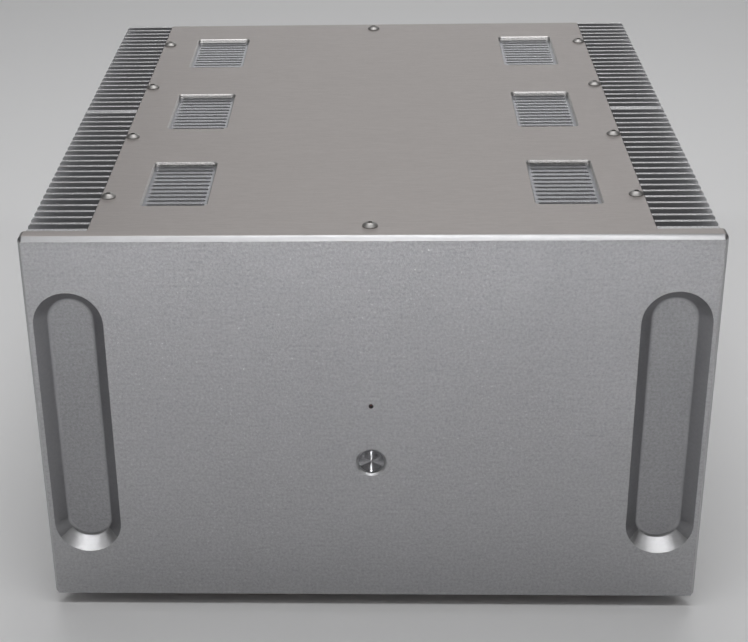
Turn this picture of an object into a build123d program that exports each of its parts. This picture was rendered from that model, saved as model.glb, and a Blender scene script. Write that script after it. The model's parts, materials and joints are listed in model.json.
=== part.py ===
from build123d import *
from math import atan, degrees, sqrt
import os

# An amplifier chassis: a thick milled front plate, four finned heatsinks as side walls,
# screwed covers, cross bars, turned feet, and a sprung power button with its switch.
# Millimetres. The front faces -Y, +X is the right-hand side seen from the front, +Z is up.
# The origin is on the surface under the feet, at the middle of the width and the depth.

# Front plate
front_width = 430.0
body_height = 264.0
front_thickness = 12.0
front_corner_radius = 3.0
front_bevel_face = 2.3
front_bevel_depth = 4.0

# Grip recesses in the front plate
grip_width = 44.0
grip_height = 191.0
grip_depth = 9.0
grip_wall_run = 8.0
grip_floor_fillet = 3.5
grip_side_land = 5.0

# Heatsinks
heatsink_length = 222.4
heatsink_base = 10.0
fin_length = 38.6
fin_set_back = 2.8
fin_count = 23
fin_root = 2.8
fin_tip = 2.4
end_fin = 3.6
fin_corner = 1.8

# Covers
cover_thickness = 5.0
bottom_thickness = 5.0
cover_side_gap = 0.3
pocket_width = 43.3
pocket_length = 78.0
pocket_depth = 3.0
pocket_corner_radius = 3.0
pocket_rim = 0.6
pocket_side_inset = 48.2
pocket_pitch = 144.0
pocket_rows = 3
slot_length = 38.0
slot_width = 3.2
slot_pitch = 6.63
slot_count = 12
vent_length = 60.0
vent_width = 4.0
vent_pitch = 12.0
vent_count = 8
vent_side_offset = 80.0
transformer_hole_radius = 4.25

# Cross bars and joining plates
bar_depth = 16.0
bar_height = 12.0
bar_end_gap = 0.1
bar_screw_inset = 6.0
joining_thickness = 5.0
joining_length = 60.0
joining_height = 200.0
joining_screw_reach = 18.0
joining_screw_rise = 80.0

# Rear panel
rear_thickness = 4.0
rear_recess = 3.0
rear_edge_gap = 0.3
inlet_width = 27.5
inlet_height = 20.5
inlet_rise = 50.0
inlet_screw_spacing = 40.0
inlet_screw_radius = 1.6
input_radius = 12.0
input_side_offset = 70.0
input_rise = 190.0
input_screw_across = 19.0
input_screw_up = 24.0
terminal_radius = 6.0
terminal_spacing = 32.0
terminal_side_inset = 53.6
terminal_rise = 105.0

# Screws, named for what they hold
thread_gap = 0.05
through_gap = 0.25
cover_screw_radius = 2.5
cover_screw_head_radius = 4.75
cover_screw_head_height = 2.75
cover_screw_length = 14.0
cover_screw_socket = 3.0
cover_screw_spacing = 112.0
frame_screw_radius = 2.0
frame_screw_head_radius = 3.5
frame_screw_head_height = 4.0
frame_screw_socket = 3.0
frame_screw_grip = 8.0
front_screw_inset = 23.6
front_screw_spacing = 80.0
panel_screw_radius = 2.0
panel_screw_head_radius = 3.8
panel_screw_head_height = 2.2
panel_screw_length = 12.0
panel_screw_socket = 2.5
panel_screw_inset = 18.6
panel_screw_spacing = 100.0
module_hole_radius = 1.65
module_hole_depth = 8.0
module_spacing_y = 100.0
module_spacing_z = 120.0

# Feet
foot_height = 10.0
foot_radius = 22.0
foot_edge = 1.0
foot_side_inset = 33.3
foot_end_offset = 60.0
foot_web = 3.5
pad_outer_radius = 18.0
pad_inner_radius = 13.0
pad_thickness = 3.0
pad_proud = 1.5
pad_gap = 0.1

# Power button, its housing and its switch
button_rise = 105.8
button_radius = 8.6
button_side_gap = 0.2
button_recess = 2.0
button_mouth_bevel = 1.25
button_edge = 0.4
button_flange_gap = 0.6
button_flange_thickness = 2.0
button_seat_gap = 0.1
button_travel = 3.0
stem_radius = 3.0
stem_gap = 0.2
stem_reach = 4.0
stem_end_gap = 1.0
housing_flange_radius = 20.0
housing_flange_thickness = 3.0
housing_outer_radius = 14.0
housing_inner_radius = 11.0
housing_length = 16.0
housing_end = 3.0
housing_screw_circle = 17.0
housing_screw_radius = 1.5
housing_screw_head_radius = 2.6
housing_screw_head_height = 1.8
housing_screw_length = 8.0
housing_screw_socket = 2.0
housing_screw_count = 3
spring_radius = 7.0
spring_wire = 0.45
spring_wire_sides = 8
spring_turns = 4.5
spring_end_gap = 0.1
switch_width = 16.0
switch_back_wall = 6.0
bush_radius = 5.0
bush_gap = 0.05
tab_width = 2.8
tab_thickness = 0.6
tab_length = 7.0
tab_spacing = 8.0

# Indicator lamp and its holder
lamp_rise = 147.5
lamp_radius = 1.5
lamp_hole_gap = 0.1
lamp_recess = 0.8
lamp_length = 6.0
lamp_front_wall = 4.0
holder_radius = 4.0
holder_stand_off = 3.0
holder_gap = 0.05
lead_radius = 0.3
lead_length = 14.0

# Planes and levels worked out from the sizes above
overall_depth = front_thickness + 2 * heatsink_length
front_y = -overall_depth / 2
front_back_y = front_y + front_thickness
joint_y = front_back_y + heatsink_length
rear_y = front_y + overall_depth
bottom_z = foot_height
top_z = foot_height + body_height
middle_z = (bottom_z + top_z) / 2
inside_bottom_z = bottom_z + bottom_thickness
inside_top_z = top_z - cover_thickness
base_outer_half = front_width / 2 - fin_set_back - fin_length
heatsink_inner_half = base_outer_half - heatsink_base
cover_half_width = base_outer_half - cover_side_gap
pocket_side_offset = cover_half_width - pocket_side_inset
foot_side_offset = cover_half_width - foot_side_inset
terminal_side_offset = heatsink_inner_half - terminal_side_inset
panel_front_y = rear_y - rear_recess - rear_thickness
rear_bar_y = panel_front_y - bar_depth
front_bar_screw_y = front_back_y + bar_screw_inset
rear_bar_screw_y = panel_front_y - bar_screw_inset
bar_half_length = heatsink_inner_half - bar_end_gap
top_bar_z = inside_top_z - bar_height
upper_bar_middle = top_bar_z + bar_height / 2
lower_bar_middle = inside_bottom_z + bar_height / 2
base_middle_x = heatsink_inner_half + heatsink_base / 2
button_z = bottom_z + button_rise
button_flange_radius = housing_inner_radius - button_flange_gap
stem_length = housing_length + stem_reach - button_flange_thickness - button_seat_gap
switch_bore_depth = stem_reach + button_travel + stem_end_gap
switch_length = switch_bore_depth + switch_back_wall
lamp_z = bottom_z + lamp_rise
grip_centre_x = front_width / 2 - grip_side_land - grip_width / 2

UP = Vector(0, 0, 1)
DOWN = Vector(0, 0, -1)
FORWARD = Vector(0, -1, 0)
BACK = Vector(0, 1, 0)
OUTWARD = Vector(1, 0, 0)
MIN_ALIGN = (Align.CENTER, Align.CENTER, Align.MIN)


def place(shape, point, direction):
    """Stand a shape made along +Z at a point, turned to a direction."""
    return Plane(origin=point, z_dir=direction).location * shape


def rod(radius, length, point, direction):
    """A cylinder that starts at a point and runs along a direction."""
    return place(Cylinder(radius, length, align=MIN_ALIGN), point, direction)


def block(low, high):
    """A box between its lowest and highest corners."""
    low, high = Vector(*low), Vector(*high)
    size = high - low
    return Pos(low) * Box(size.X, size.Y, size.Z, align=(Align.MIN, Align.MIN, Align.MIN))


def cut(body, tools):
    """Take a list of tools away from a body in one step."""
    return body - Part() - tools


def group(solids):
    """Separate solids of one node."""
    return Compound(children=list(solids))


def socket_cut(width, depth, top):
    """The hexagonal socket in a screw's head."""
    return Pos(0, 0, top - depth) * extrude(RegularPolygon(width / sqrt(3), 6), amount=depth)


def domed_screw(radius, length, head_radius, head_height, socket):
    """A button-head screw whose head stands on Z = 0 and whose thread runs down."""
    rim = head_height * 0.25
    dome_height = head_height - rim
    dome_radius = (head_radius**2 + dome_height**2) / (2 * dome_height)
    head = Cylinder(head_radius, head_height, align=MIN_ALIGN)
    head &= Pos(0, 0, head_height - dome_radius) * Sphere(dome_radius)
    head -= socket_cut(socket, head_height * 0.6, head_height)
    return head + rod(radius, length, (0, 0, 0), DOWN)


def cap_screw(radius, length, head_radius, head_height, socket):
    """A cylinder-head screw whose head stands on Z = 0 and whose thread runs down."""
    head = Cylinder(head_radius, head_height, align=MIN_ALIGN)
    head -= socket_cut(socket, head_height / 2, head_height)
    return head + rod(radius, length, (0, 0, 0), DOWN)


def fin_pitch():
    """Spacing of the fins between the two end fins of a heatsink."""
    return (heatsink_length - 2 * end_fin + fin_root) / (fin_count - 1)


def fin_centre(index):
    """Distance of a fin's middle from the heatsink's front end; index 0 is the end fin."""
    return end_fin - fin_root / 2 + index * fin_pitch()


def gap_centre(index):
    """Distance of a gap's middle from the heatsink's front end."""
    return fin_centre(index) + fin_pitch() / 2


def front_bar_end_y():
    """Where the front bars' end screws pass, in the first gap behind the front plate."""
    return front_back_y + gap_centre(0)


def rear_bar_end_y():
    """Where the rear bars' end screws pass, in the second gap from the rear end."""
    return rear_y - gap_centre(1)


def cover_screw_points(z):
    """The ten cover screws: two in each heatsink's base and one in each bar."""
    points = []
    for start in (front_back_y, joint_y):
        middle = start + heatsink_length / 2
        for side in (-1, 1):
            for end in (-1, 1):
                points.append((side * base_middle_x, middle + end * cover_screw_spacing / 2, z))
    points.append((0, front_bar_screw_y, z))
    points.append((0, rear_bar_screw_y, z))
    return points


def bar_screw_points(inset, spacing, y):
    """Two pairs of screws in each of an upper and a lower bar, set in from the heatsinks."""
    outer = heatsink_inner_half - inset
    inner = outer - spacing
    rows = (lower_bar_middle, upper_bar_middle)
    return [(x, y, z) for z in rows for x in (-outer, -inner, inner, outer)]


def front_screw_points():
    """Where the front plate's screws enter the bars, from behind."""
    return bar_screw_points(front_screw_inset, front_screw_spacing, front_back_y + bar_depth)


def panel_screw_points():
    """Where the rear panel's screws stand on its outer face."""
    return bar_screw_points(panel_screw_inset, panel_screw_spacing, rear_y - rear_recess)


def joining_screw_points(side):
    """Where one side's joining screws stand on the joining plate's inner face."""
    x = side * (heatsink_inner_half - joining_thickness)
    places = []
    for end in (-1, 1):
        for row in (-1, 0, 1):
            places.append((x, joint_y + end * joining_screw_reach, middle_z + row * joining_screw_rise))
    return places


def foot_points():
    """The middles of the four feet on the surface."""
    y = overall_depth / 2 - foot_end_offset
    return [(x * foot_side_offset, end * y, 0) for end in (-1, 1) for x in (-1, 1)]


def housing_screw_points():
    """Where the button housing's screws stand on its flange."""
    y = front_back_y + housing_flange_thickness
    ring = PolarLocations(housing_screw_circle, housing_screw_count, start_angle=90)
    return [(spot.position.X, y, button_z + spot.position.Y) for spot in ring]


def grip_cutter(side):
    """The space of one grip recess: a slot whose walls lean in to a rounded floor."""
    plane = Plane(origin=(side * grip_centre_x, front_y, middle_z), x_dir=(1, 0, 0), z_dir=(0, 1, 0))
    lean = degrees(atan(grip_wall_run / grip_depth))
    outline = plane * SlotOverall(grip_height, grip_width, rotation=90)
    space = extrude(outline, amount=grip_depth, taper=lean)
    return fillet(space.edges().group_by(Axis.Y)[-1], grip_floor_fillet)


def front_plate():
    """The milled front plate with its bevel, grips, button bore and lamp hole."""
    back_plane = Plane(origin=(0, front_back_y, middle_z), x_dir=(1, 0, 0), z_dir=(0, -1, 0))
    outline = RectangleRounded(front_width, body_height, front_corner_radius)
    straight = front_thickness - front_bevel_depth
    lean = degrees(atan(front_bevel_face / front_bevel_depth))
    plate = extrude(back_plane * outline, amount=straight)
    plate += extrude(back_plane.offset(straight) * outline, amount=front_bevel_depth, taper=lean)
    bore = button_radius + button_side_gap
    mouth = Cone(bore, bore + button_mouth_bevel, button_mouth_bevel, align=MIN_ALIGN)
    tools = [grip_cutter(-1), grip_cutter(1)]
    tools.append(rod(bore, front_thickness, (0, front_back_y, button_z), FORWARD))
    tools.append(place(mouth, (0, front_y + button_mouth_bevel, button_z), FORWARD))
    tools.append(rod(lamp_radius + lamp_hole_gap, front_thickness, (0, front_back_y, lamp_z), FORWARD))
    holder_depth = front_thickness - lamp_front_wall
    tools.append(rod(holder_radius + holder_gap, holder_depth, (0, front_back_y, lamp_z), FORWARD))
    for x, y, z in front_screw_points():
        tools.append(rod(frame_screw_radius + thread_gap, frame_screw_grip, (x, front_back_y, z), FORWARD))
    housing_grip = housing_screw_length - housing_flange_thickness
    for x, y, z in housing_screw_points():
        tools.append(rod(housing_screw_radius + thread_gap, housing_grip, (x, front_back_y, z), FORWARD))
    return cut(plate, tools)


def heatsink_profile(start_y):
    """The extruded section of a right-hand heatsink: a flat base with tapered fins."""
    root_x, tip_x = base_outer_half, base_outer_half + fin_length
    lean = (fin_root - fin_tip) / 2
    points = [(heatsink_inner_half, 0), (tip_x, 0), (tip_x, end_fin - lean), (root_x, end_fin)]
    for index in range(1, fin_count - 1):
        middle = fin_centre(index)
        points.append((root_x, middle - fin_root / 2))
        points.append((tip_x, middle - fin_tip / 2))
        points.append((tip_x, middle + fin_tip / 2))
        points.append((root_x, middle + fin_root / 2))
    points.append((root_x, heatsink_length - end_fin))
    points.append((tip_x, heatsink_length - end_fin + lean))
    points.append((tip_x, heatsink_length))
    points.append((heatsink_inner_half, heatsink_length))
    outline = make_face(Polyline(*points, close=True))
    return Pos(0, start_y, 0) * outline


def fin_corner_cutter(start_y, edge_z, inward):
    """The bevel across all the fins' outer corners, at the top or the bottom of a heatsink."""
    tip_x = base_outer_half + fin_length
    inner_x, outer_x = tip_x - fin_corner, tip_x + fin_corner
    points = [(inner_x, edge_z), (outer_x, edge_z), (outer_x, edge_z + inward * 2 * fin_corner)]
    plane = Plane(origin=(0, start_y + heatsink_length, 0), x_dir=(1, 0, 0), z_dir=(0, -1, 0))
    return extrude(plane * make_face(Polyline(*points, close=True)), amount=heatsink_length)


def heatsink(side, start_y, bar_end_y):
    """One finned side wall, rebated for the covers and drilled for its screws."""
    body = Pos(0, 0, bottom_z) * extrude(heatsink_profile(start_y), amount=body_height)
    low = (heatsink_inner_half, start_y, bottom_z)
    high = (base_outer_half, start_y + heatsink_length, inside_bottom_z)
    tools = [block(low, high)]
    low = (heatsink_inner_half, start_y, inside_top_z)
    high = (base_outer_half, start_y + heatsink_length, top_z)
    tools.append(block(low, high))
    tools.append(fin_corner_cutter(start_y, top_z, -1))
    tools.append(fin_corner_cutter(start_y, bottom_z, 1))
    middle_y = start_y + heatsink_length / 2
    thread = cover_screw_radius + thread_gap
    for end in (-1, 1):
        y = middle_y + end * cover_screw_spacing / 2
        depth = cover_screw_length - cover_thickness
        tools.append(rod(thread, depth, (base_middle_x, y, inside_top_z), DOWN))
        depth = cover_screw_length - bottom_thickness
        tools.append(rod(thread, depth, (base_middle_x, y, inside_bottom_z), UP))
        for row in (-1, 1):
            y, z = middle_y + end * module_spacing_y / 2, middle_z + row * module_spacing_z / 2
            spot = (heatsink_inner_half, y, z)
            tools.append(rod(module_hole_radius, module_hole_depth, spot, OUTWARD))
    for z in (lower_bar_middle, upper_bar_middle):
        spot = (heatsink_inner_half, bar_end_y, z)
        tools.append(rod(frame_screw_radius + through_gap, heatsink_base, spot, OUTWARD))
    for x, y, z in joining_screw_points(1):
        if start_y < y < start_y + heatsink_length:
            spot = (heatsink_inner_half, y, z)
            tools.append(rod(frame_screw_radius + thread_gap, frame_screw_grip, spot, OUTWARD))
    body = cut(body, tools)
    return body if side > 0 else mirror(body, Plane.YZ)


def pocket_centres():
    """The middles of the milled pockets in the top cover."""
    middle = (pocket_rows - 1) / 2
    rows = [joint_y + (row - middle) * pocket_pitch for row in range(pocket_rows)]
    return [(side * pocket_side_offset, y) for y in rows for side in (-1, 1)]


def pocket_cutter():
    """One milled pocket, open at Z = 0, with a bevelled rim and its row of slots."""
    inner_width, inner_length = pocket_width - 2 * pocket_rim, pocket_length - 2 * pocket_rim
    well = extrude(RectangleRounded(inner_width, inner_length, pocket_corner_radius), amount=-pocket_depth)
    rim_outline = RectangleRounded(pocket_width, pocket_length, pocket_corner_radius + pocket_rim)
    rim = extrude(rim_outline, amount=-pocket_rim, taper=45)
    middle = (slot_count - 1) / 2
    slot = extrude(SlotOverall(slot_length, slot_width), amount=-cover_thickness)
    slots = [Pos(0, (row - middle) * slot_pitch, 0) * slot for row in range(slot_count)]
    return [well, rim] + slots


def top_cover():
    """The flat top cover with its slotted pockets and screw holes."""
    low = (-cover_half_width, front_back_y, inside_top_z)
    cover = block(low, (cover_half_width, rear_y, top_z))
    tools = []
    for x, y in pocket_centres():
        tools += [Pos(x, y, top_z) * tool for tool in pocket_cutter()]
    for point in cover_screw_points(top_z):
        tools.append(rod(cover_screw_radius + through_gap, cover_thickness, point, DOWN))
    return cut(cover, tools)


def bottom_plate():
    """The flat bottom plate with vents, screw holes and a hole for the transformer's bolt."""
    low = (-cover_half_width, front_back_y, bottom_z)
    plate = block(low, (cover_half_width, rear_y, inside_bottom_z))
    tools = [rod(transformer_hole_radius, bottom_thickness, (0, joint_y, bottom_z), UP)]
    middle = (vent_count - 1) / 2
    vent = extrude(SlotOverall(vent_length, vent_width), amount=bottom_thickness)
    for side in (-1, 1):
        for row in range(vent_count):
            spot = (side * vent_side_offset, joint_y + (row - middle) * vent_pitch, bottom_z)
            tools.append(Pos(*spot) * vent)
    for point in cover_screw_points(bottom_z):
        tools.append(rod(cover_screw_radius + through_gap, bottom_thickness, point, UP))
    for x, y, z in foot_points():
        tools.append(rod(cover_screw_radius + thread_gap, bottom_thickness, (x, y, bottom_z), UP))
    return cut(plate, tools)


def cross_bar(low_y, low_z, end_y):
    """A square bar between the heatsinks, tapped at both ends."""
    bar = block((-bar_half_length, low_y, low_z), (bar_half_length, low_y + bar_depth, low_z + bar_height))
    middle = low_z + bar_height / 2
    thread = frame_screw_radius + thread_gap
    tools = []
    for side in (-1, 1):
        spot = (side * bar_half_length, end_y, middle)
        tools.append(rod(thread, frame_screw_grip, spot, Vector(-side, 0, 0)))
    return bar, tools


def cover_tap(screw_y, low_z):
    """The tapped hole for a cover screw, from the bar's outer face."""
    upper = low_z > middle_z
    depth = cover_screw_length - (cover_thickness if upper else bottom_thickness)
    start_z = low_z + bar_height if upper else low_z
    return rod(cover_screw_radius + thread_gap, depth, (0, screw_y, start_z), DOWN if upper else UP)


def front_bar(low_z):
    """A front cross bar, drilled for the front plate's screws."""
    bar, tools = cross_bar(front_back_y, low_z, front_bar_end_y())
    tools.append(cover_tap(front_bar_screw_y, low_z))
    for x, y, z in front_screw_points():
        if low_z < z < low_z + bar_height:
            tools.append(rod(frame_screw_radius + through_gap, bar_depth, (x, y, z), FORWARD))
    return cut(bar, tools)


def rear_bar(low_z):
    """A rear cross bar, tapped for the rear panel's screws."""
    bar, tools = cross_bar(rear_bar_y, low_z, rear_bar_end_y())
    tools.append(cover_tap(rear_bar_screw_y, low_z))
    depth = panel_screw_length - rear_thickness
    for x, y, z in panel_screw_points():
        if low_z < z < low_z + bar_height:
            tools.append(rod(panel_screw_radius + thread_gap, depth, (x, panel_front_y, z), FORWARD))
    return cut(bar, tools)


def joining_plate(side):
    """The plate that joins one side's two heatsinks from inside."""
    inner_x = heatsink_inner_half - joining_thickness
    low = (inner_x, joint_y - joining_length / 2, middle_z - joining_height / 2)
    high = (heatsink_inner_half, joint_y + joining_length / 2, middle_z + joining_height / 2)
    plate = block(low, high)
    tools = []
    for point in joining_screw_points(1):
        tools.append(rod(frame_screw_radius + through_gap, joining_thickness, point, OUTWARD))
    plate = cut(plate, tools)
    return plate if side > 0 else mirror(plate, Plane.YZ)


def rear_panel():
    """The rear panel with cut-outs for the mains inlet, the inputs and the speaker terminals."""
    half_width = heatsink_inner_half - rear_edge_gap
    low = (-half_width, panel_front_y, inside_bottom_z + rear_edge_gap)
    panel = block(low, (half_width, panel_front_y + rear_thickness, inside_top_z - rear_edge_gap))
    face_y = panel_front_y + rear_thickness
    low = (-inlet_width / 2, panel_front_y, bottom_z + inlet_rise - inlet_height / 2)
    tools = [block(low, (inlet_width / 2, face_y, bottom_z + inlet_rise + inlet_height / 2))]
    for side in (-1, 1):
        spot = (side * inlet_screw_spacing / 2, face_y, bottom_z + inlet_rise)
        tools.append(rod(inlet_screw_radius, rear_thickness, spot, FORWARD))
        middle = (side * input_side_offset, face_y, bottom_z + input_rise)
        tools.append(rod(input_radius, rear_thickness, middle, FORWARD))
        for end in (-1, 1):
            spot = (middle[0] + end * input_screw_across / 2, face_y, middle[2] - end * input_screw_up / 2)
            tools.append(rod(inlet_screw_radius, rear_thickness, spot, FORWARD))
            x = side * terminal_side_offset + end * terminal_spacing / 2
            tools.append(rod(terminal_radius, rear_thickness, (x, face_y, bottom_z + terminal_rise), FORWARD))
    for point in panel_screw_points():
        tools.append(rod(panel_screw_radius + through_gap, rear_thickness, point, FORWARD))
    return cut(panel, tools)


def foot(point):
    """A turned foot with a groove for its rubber ring and a counterbore for its screw."""
    height = foot_height - pad_proud
    body = Cylinder(foot_radius, height, align=MIN_ALIGN)
    body = chamfer(body.edges().filter_by(GeomType.CIRCLE), foot_edge)
    groove_depth = pad_thickness - pad_proud
    groove = Cylinder(pad_outer_radius + pad_gap, groove_depth, align=MIN_ALIGN)
    groove -= Cylinder(pad_inner_radius - pad_gap, groove_depth, align=MIN_ALIGN)
    counterbore = Cylinder(cover_screw_head_radius + through_gap, height - foot_web, align=MIN_ALIGN)
    through = Cylinder(cover_screw_radius + through_gap, height, align=MIN_ALIGN)
    x, y, z = point
    return Pos(x, y, z + pad_proud) * (body - groove - counterbore - through)


def foot_pad(point):
    """The rubber ring that a foot stands on."""
    ring = Cylinder(pad_outer_radius, pad_thickness, align=MIN_ALIGN)
    ring -= Cylinder(pad_inner_radius, pad_thickness, align=MIN_ALIGN)
    return Pos(*point) * ring


def cover_screws(z, direction):
    """One cover's ten screws."""
    screw = domed_screw(
        cover_screw_radius,
        cover_screw_length,
        cover_screw_head_radius,
        cover_screw_head_height,
        cover_screw_socket,
    )
    return group(place(screw, point, direction) for point in cover_screw_points(z))


def frame_screw(length):
    """The cylinder-head screw that holds the frame together, in one of its lengths."""
    return cap_screw(
        frame_screw_radius, length, frame_screw_head_radius, frame_screw_head_height, frame_screw_socket
    )


def front_plate_screws():
    """The screws through the front bars into the back of the front plate."""
    screw = frame_screw(bar_depth + frame_screw_grip)
    return group(place(screw, point, BACK) for point in front_screw_points())


def bar_end_screws():
    """The screws through the heatsink bases, between the fins, into the bars' ends."""
    screw = frame_screw(heatsink_base + bar_end_gap + frame_screw_grip)
    solids = []
    for side in (-1, 1):
        for y in (front_bar_end_y(), rear_bar_end_y()):
            for z in (lower_bar_middle, upper_bar_middle):
                solids.append(place(screw, (side * base_outer_half, y, z), Vector(side, 0, 0)))
    return group(solids)


def joining_screws():
    """The screws through both joining plates into the heatsinks."""
    screw = frame_screw(joining_thickness + frame_screw_grip)
    solids = []
    for side in (-1, 1):
        solids += [place(screw, point, Vector(-side, 0, 0)) for point in joining_screw_points(side)]
    return group(solids)


def rear_panel_screws():
    """The screws through the rear panel into the rear bars."""
    screw = domed_screw(
        panel_screw_radius,
        panel_screw_length,
        panel_screw_head_radius,
        panel_screw_head_height,
        panel_screw_socket,
    )
    return group(place(screw, point, BACK) for point in panel_screw_points())


def foot_screws():
    """The screws up through the feet into the bottom plate."""
    screw = domed_screw(
        cover_screw_radius,
        foot_web + bottom_thickness,
        cover_screw_head_radius,
        cover_screw_head_height,
        cover_screw_socket,
    )
    seat = foot_height - foot_web
    return group(place(screw, (x, y, seat), DOWN) for x, y, z in foot_points())


def power_button():
    """The turned button: a round cap, a flange that stops it, and a stem to the switch."""
    cap_length = front_thickness - button_recess + button_seat_gap
    cap = Cylinder(button_radius, cap_length, align=MIN_ALIGN)
    cap = chamfer(cap.edges().group_by(Axis.Z)[-1], button_edge)
    flange = rod(button_flange_radius, button_flange_thickness, (0, 0, 0), DOWN)
    stem = rod(stem_radius, button_flange_thickness + stem_length, (0, 0, 0), DOWN)
    return place(cap + flange + stem, (0, front_back_y + button_seat_gap, button_z), FORWARD)


def button_housing():
    """The turned cup behind the front plate that holds the spring and the switch."""
    cup = Cylinder(housing_outer_radius, housing_length, align=MIN_ALIGN)
    cup += Cylinder(housing_flange_radius, housing_flange_thickness, align=MIN_ALIGN)
    cup -= Cylinder(housing_inner_radius, housing_length - housing_end, align=MIN_ALIGN)
    cup -= Cylinder(bush_radius + bush_gap, housing_length, align=MIN_ALIGN)
    cup = place(cup, (0, front_back_y, button_z), BACK)
    tools = []
    for point in housing_screw_points():
        tools.append(rod(housing_screw_radius + through_gap, housing_flange_thickness, point, FORWARD))
    return cut(cup, tools)


def housing_screws():
    """The small screws that hold the button's housing to the front plate."""
    screw = domed_screw(
        housing_screw_radius,
        housing_screw_length,
        housing_screw_head_radius,
        housing_screw_head_height,
        housing_screw_socket,
    )
    return group(place(screw, point, BACK) for point in housing_screw_points())


def button_spring():
    """The coil spring round the stem, between the button's flange and the housing's end."""
    start = button_seat_gap + button_flange_thickness + spring_end_gap + spring_wire
    end = housing_length - housing_end - spring_end_gap - spring_wire
    height = end - start
    path = Helix(pitch=height / spring_turns, height=height, radius=spring_radius)
    wire = Plane(origin=path @ 0, z_dir=path % 0) * RegularPolygon(spring_wire, spring_wire_sides)
    coil = sweep(wire, path=path)
    return place(coil, (0, front_back_y + start, button_z), BACK)


def power_switch():
    """The push switch, its bush screwed into the housing's end and bored for the button's stem."""
    start_y = front_back_y + housing_length
    half = switch_width / 2
    body = block((-half, start_y, button_z - half), (half, start_y + switch_length, button_z + half))
    body += rod(bush_radius, housing_end, (0, start_y, button_z), FORWARD)
    bore_length = housing_end + switch_bore_depth
    return body - rod(stem_radius + stem_gap, bore_length, (0, start_y - housing_end, button_z), BACK)


def switch_tabs():
    """The switch's four soldering tabs."""
    start_y = front_back_y + housing_length + switch_length
    solids = []
    for side in (-1, 1):
        for row in (-1, 1):
            x, z = side * tab_spacing / 2, button_z + row * tab_spacing / 2
            low = (x - tab_thickness / 2, start_y, z - tab_width / 2)
            high = (x + tab_thickness / 2, start_y + tab_length, z + tab_width / 2)
            solids.append(block(low, high))
    return group(solids)


def indicator_lamp():
    """The small round lamp with a domed tip."""
    barrel = Cylinder(lamp_radius, lamp_length - lamp_radius, align=MIN_ALIGN)
    tip = Pos(0, 0, lamp_length - lamp_radius) * Sphere(lamp_radius)
    return place(barrel + tip, (0, front_y + lamp_recess + lamp_length, lamp_z), FORWARD)


def lamp_holder():
    """The bush that holds the lamp in the back of the front plate."""
    depth = front_thickness - lamp_front_wall
    bush = rod(holder_radius, depth + holder_stand_off, (0, front_back_y + holder_stand_off, lamp_z), FORWARD)
    start = (0, front_back_y + holder_stand_off, lamp_z)
    return bush - rod(lamp_radius + holder_gap, depth + holder_stand_off, start, FORWARD)


def lamp_leads():
    """The lamp's two leads."""
    start_y = front_y + lamp_recess + lamp_length
    offset = lamp_radius - 2 * lead_radius
    spots = [(side * offset, start_y, lamp_z) for side in (-1, 1)]
    return group(rod(lead_radius, lead_length, spot, BACK) for spot in spots)


parts = {
    "front_plate": front_plate(),
    "top_cover": top_cover(),
    "bottom_plate": bottom_plate(),
    "rear_panel": rear_panel(),
    "heatsink_left_front": heatsink(-1, front_back_y, front_bar_end_y()),
    "heatsink_left_rear": heatsink(-1, joint_y, rear_bar_end_y()),
    "heatsink_right_front": heatsink(1, front_back_y, front_bar_end_y()),
    "heatsink_right_rear": heatsink(1, joint_y, rear_bar_end_y()),
    "front_top_bar": front_bar(top_bar_z),
    "front_bottom_bar": front_bar(inside_bottom_z),
    "rear_top_bar": rear_bar(top_bar_z),
    "rear_bottom_bar": rear_bar(inside_bottom_z),
    "joining_plate_left": joining_plate(-1),
    "joining_plate_right": joining_plate(1),
    "top_cover_screws": cover_screws(top_z, UP),
    "bottom_plate_screws": cover_screws(bottom_z, DOWN),
    "front_plate_screws": front_plate_screws(),
    "bar_end_screws": bar_end_screws(),
    "joining_screws": joining_screws(),
    "rear_panel_screws": rear_panel_screws(),
    "foot_screws": foot_screws(),
    "power_button": power_button(),
    "button_housing": button_housing(),
    "housing_screws": housing_screws(),
    "button_spring": button_spring(),
    "power_switch": power_switch(),
    "switch_tabs": switch_tabs(),
    "indicator_lamp": indicator_lamp(),
    "lamp_holder": lamp_holder(),
    "lamp_leads": lamp_leads(),
}

for name, point in zip(("front_left", "front_right", "rear_left", "rear_right"), foot_points()):
    parts["foot_" + name] = foot(point)
    parts["foot_pad_" + name] = foot_pad(point)

os.makedirs("parts", exist_ok=True)
for name, shape in parts.items():
    export_step(shape, "parts/" + name + ".step")
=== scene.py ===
"""An amplifier chassis in blasted and anodised aluminium, dressed for a studio picture."""

import json
import math

import bmesh
import bpy
from mathutils import Euler, Matrix, Vector

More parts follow.
